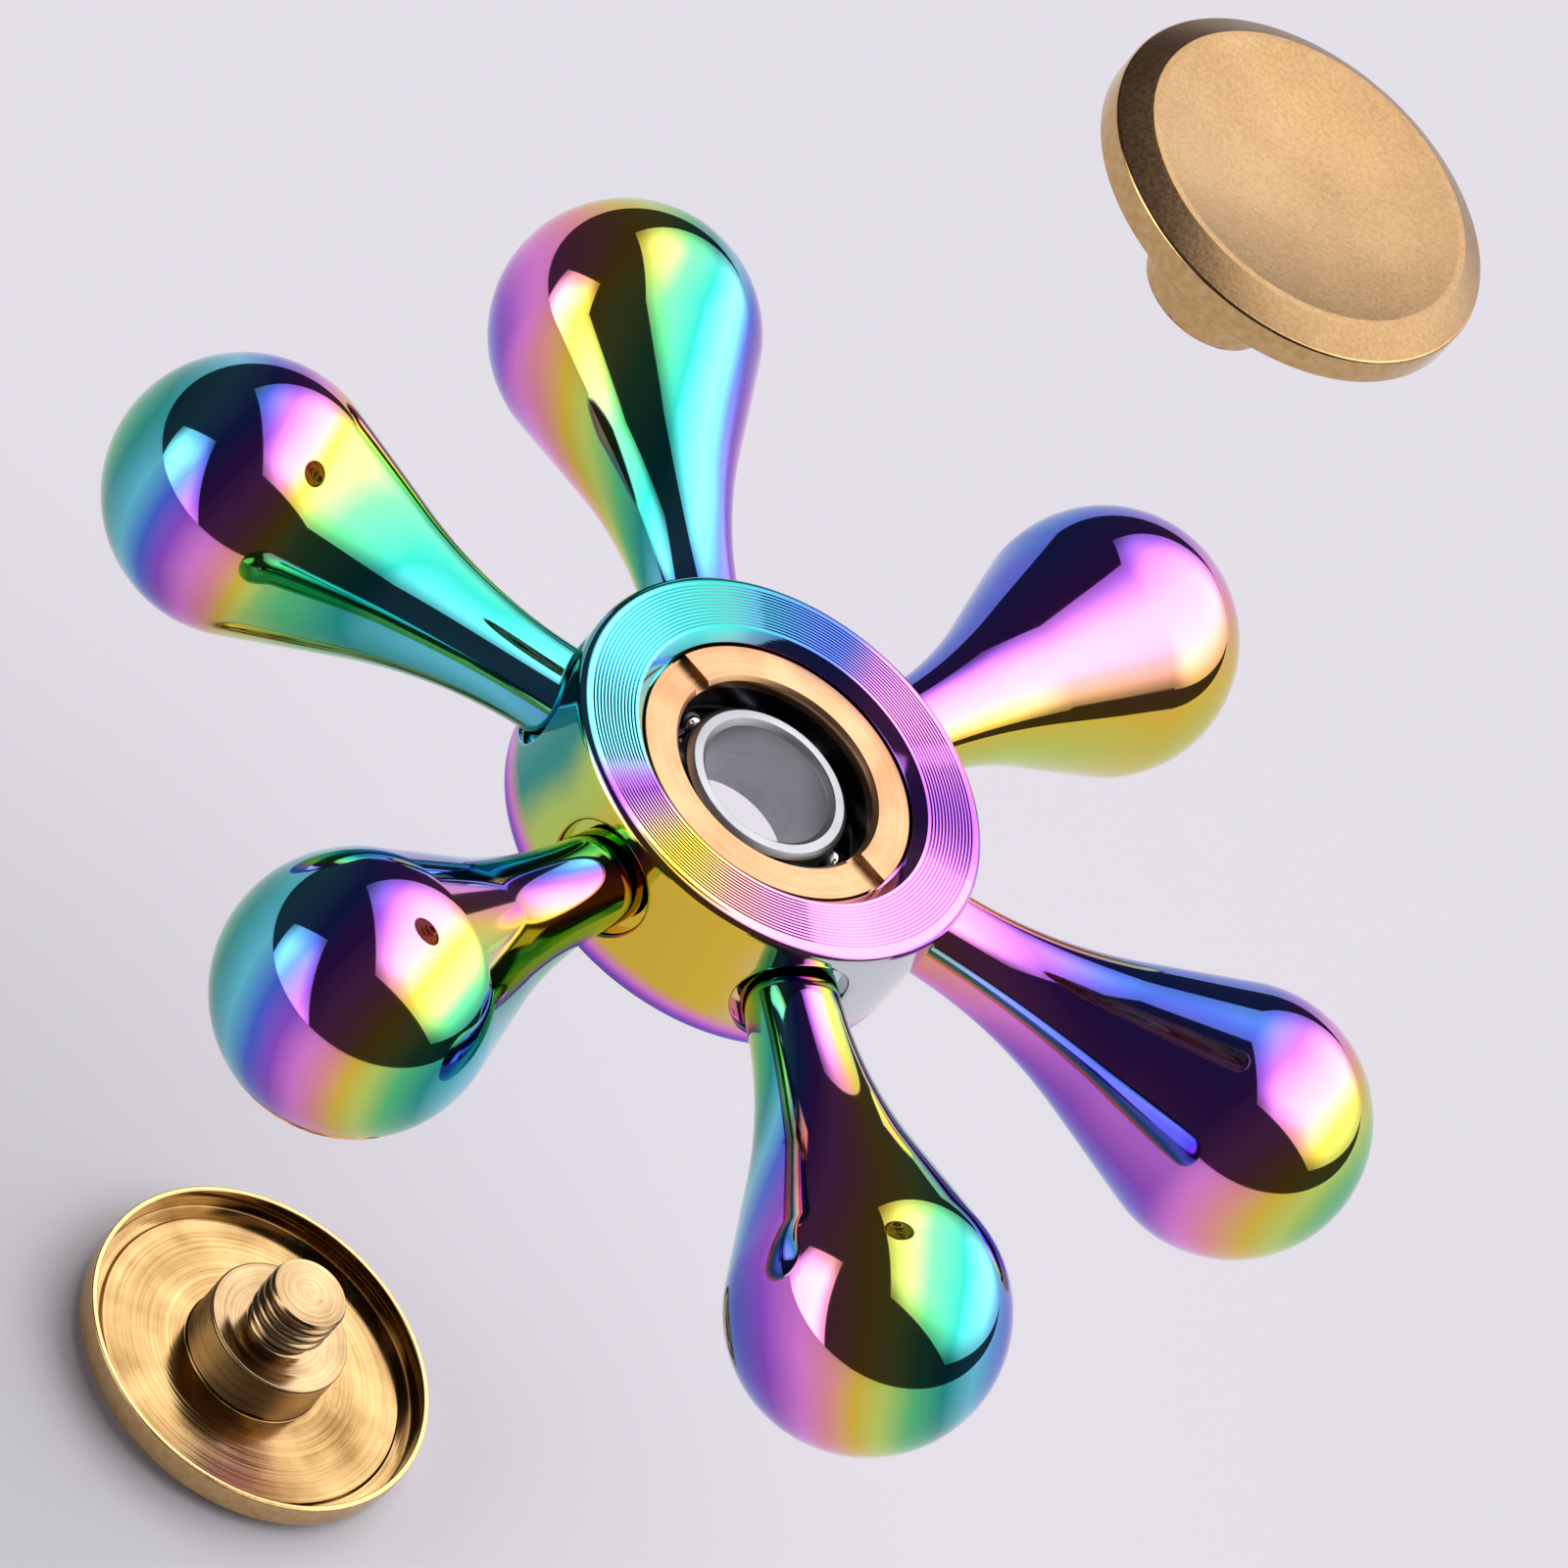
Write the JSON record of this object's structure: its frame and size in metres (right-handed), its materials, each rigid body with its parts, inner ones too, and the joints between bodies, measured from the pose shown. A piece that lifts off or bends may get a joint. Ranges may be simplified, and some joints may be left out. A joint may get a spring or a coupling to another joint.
{
  "type": "fidget spinner",
  "caption": "Hand spinner: teardrop arms round a ring hub, an open ball bearing under a slotted lock ring, and dished thumb caps unscrewed along the spin axis.",
  "frame": {"origin": "centre of the bearing, on the spin axis, midway between the drawn-out caps", "axes": "+Z along the spin axis, out of the face that shows the lock ring; +X along arm_drop_1"},
  "size_m": [0.0664, 0.0592, 0.096],
  "materials": {
    "hub_coating": "iridescent mirror coating, face finely turned",
    "drop_coating": "iridescent mirror coating",
    "lock_brass": "turned, satin",
    "bearing_steel": "ground",
    "ball_steel": "polished",
    "cage_steel": "stamped, oiled",
    "cap_brass": "blasted dish, polished wall, turned inside"
  },
  "bodies": {
    "axle": {"bearing_inner_race": "bearing_steel"},
    "rotor": {"hub_ring": "hub_coating", "arm_drop_1": "drop_coating", "arm_drop_2": "drop_coating", "arm_drop_3": "drop_coating", "arm_drop_4": "drop_coating", "arm_drop_5": "drop_coating", "arm_drop_6": "drop_coating", "lock_ring": "lock_brass", "bearing_outer_race": "bearing_steel"},
    "cage": {"bearing_cage": "cage_steel"},
    "ball_01": {"bearing_ball_01": "ball_steel"},
    "ball_02": {"bearing_ball_02": "ball_steel"},
    "ball_03": {"bearing_ball_03": "ball_steel"},
    "ball_04": {"bearing_ball_04": "ball_steel"},
    "ball_05": {"bearing_ball_05": "ball_steel"},
    "ball_06": {"bearing_ball_06": "ball_steel"},
    "ball_07": {"bearing_ball_07": "ball_steel"},
    "ball_08": {"bearing_ball_08": "ball_steel"},
    "ball_09": {"bearing_ball_09": "ball_steel"},
    "ball_10": {"bearing_ball_10": "ball_steel"},
    "top_cap": {"top_cap": "cap_brass"},
    "bottom_cap": {"bottom_cap": "cap_brass"}
  },
  "joints": [
    {"name": "rotor_spin", "type": "hinge", "parent": "axle", "child": "rotor", "pos_m": [0, 0, 0], "axis": [0, 0, 1], "continuous": true},
    {"name": "cage_roll", "type": "hinge", "parent": "axle", "child": "cage", "pos_m": [0, 0, 0], "axis": [0, 0, 1], "continuous": true},
    {"name": "ball_01_roll", "type": "hinge", "parent": "cage", "child": "ball_01", "pos_m": [0.00476, 0, 0], "axis": [0, 0, 1], "continuous": true},
    {"name": "ball_02_roll", "type": "hinge", "parent": "cage", "child": "ball_02", "pos_m": [0.00385, 0.0028, 0], "axis": [0, 0, 1], "continuous": true},
    {"name": "ball_03_roll", "type": "hinge", "parent": "cage", "child": "ball_03", "pos_m": [0.00147, 0.00453, 0], "axis": [0, 0, 1], "continuous": true},
    {"name": "ball_04_roll", "type": "hinge", "parent": "cage", "child": "ball_04", "pos_m": [-0.00147, 0.00453, 0], "axis": [0, 0, 1], "continuous": true},
    {"name": "ball_05_roll", "type": "hinge", "parent": "cage", "child": "ball_05", "pos_m": [-0.00385, 0.0028, 0], "axis": [0, 0, 1], "continuous": true},
    {"name": "ball_06_roll", "type": "hinge", "parent": "cage", "child": "ball_06", "pos_m": [-0.00476, 0, 0], "axis": [0, 0, 1], "continuous": true},
    {"name": "ball_07_roll", "type": "hinge", "parent": "cage", "child": "ball_07", "pos_m": [-0.00385, -0.0028, 0], "axis": [0, 0, 1], "continuous": true},
    {"name": "ball_08_roll", "type": "hinge", "parent": "cage", "child": "ball_08", "pos_m": [-0.00147, -0.00453, 0], "axis": [0, 0, 1], "continuous": true},
    {"name": "ball_09_roll", "type": "hinge", "parent": "cage", "child": "ball_09", "pos_m": [0.00147, -0.00453, 0], "axis": [0, 0, 1], "continuous": true},
    {"name": "ball_10_roll", "type": "hinge", "parent": "cage", "child": "ball_10", "pos_m": [0.00385, -0.0028, 0], "axis": [0, 0, 1], "continuous": true},
    {"name": "top_cap_slide", "type": "slide", "parent": "axle", "child": "top_cap", "axis": [0, 0, -1], "range_m": [0, 0.04153]},
    {"name": "bottom_cap_slide", "type": "slide", "parent": "axle", "child": "bottom_cap", "axis": [0, 0, 1], "range_m": [0, 0.04153]}
  ],
  "couplings": [
    {"joint": "cage_roll", "follows": "rotor_spin", "ratio": 0.58333},
    {"joint": "ball_01_roll", "follows": "rotor_spin", "ratio": 2.9167},
    {"joint": "ball_02_roll", "follows": "rotor_spin", "ratio": 2.9167},
    {"joint": "ball_03_roll", "follows": "rotor_spin", "ratio": 2.9167},
    {"joint": "ball_04_roll", "follows": "rotor_spin", "ratio": 2.9167},
    {"joint": "ball_05_roll", "follows": "rotor_spin", "ratio": 2.9167},
    {"joint": "ball_06_roll", "follows": "rotor_spin", "ratio": 2.9167},
    {"joint": "ball_07_roll", "follows": "rotor_spin", "ratio": 2.9167},
    {"joint": "ball_08_roll", "follows": "rotor_spin", "ratio": 2.9167},
    {"joint": "ball_09_roll", "follows": "rotor_spin", "ratio": 2.9167},
    {"joint": "ball_10_roll", "follows": "rotor_spin", "ratio": 2.9167}
  ]
}
